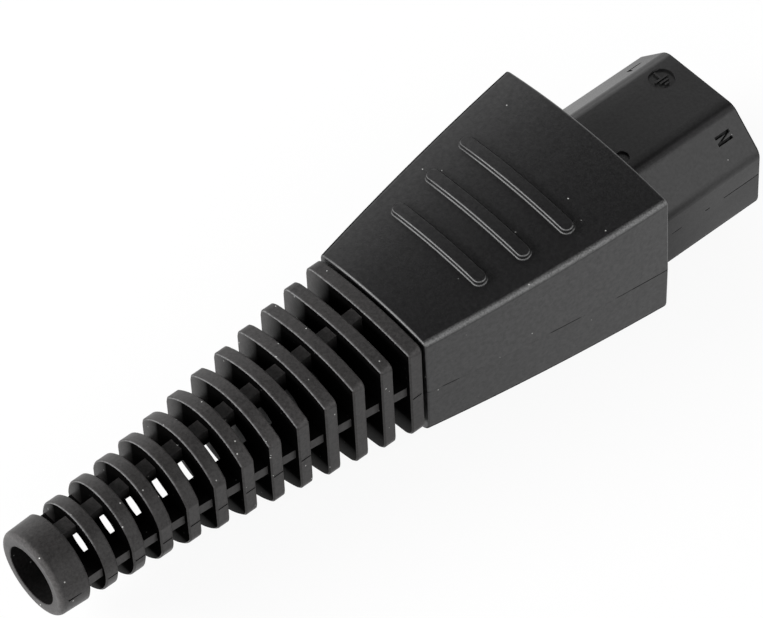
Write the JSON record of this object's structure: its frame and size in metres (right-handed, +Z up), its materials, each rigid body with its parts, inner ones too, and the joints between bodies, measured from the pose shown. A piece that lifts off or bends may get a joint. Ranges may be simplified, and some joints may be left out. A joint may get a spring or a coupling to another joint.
{
  "type": "rewireable cable connector",
  "caption": "Rewireable power connector with a six-sided contact nose, a tapered screwed body with raised grip bars and a ribbed flexible sleeve for the cord.",
  "frame": {"origin": "middle of the nose at the body's front face", "axes": "+X along the connector towards the nose, +Y to its left, +Z up, the earth side of the nose on top"},
  "size_m": [0.1154, 0.0324, 0.0234],
  "materials": {
    "shell": "fine spark-eroded satin",
    "carrier": "satin",
    "sleeve": "matte",
    "contact": "bright",
    "terminal": "machined",
    "screw": "zinc plated",
    "clamp": "plain"
  },
  "bodies": {
    "root": {"upper_shell": "shell", "lower_shell": "shell", "contact_carrier": "carrier", "strain_relief_sleeve": "sleeve", "line_contact": "contact", "neutral_contact": "contact", "earth_contact": "contact", "line_terminal": "terminal", "neutral_terminal": "terminal", "earth_terminal": "terminal", "terminal_screws": "screw", "cord_clamp": "clamp", "cord_clamp_screws": "screw", "housing_screws": "screw"}
  },
  "joints": []
}
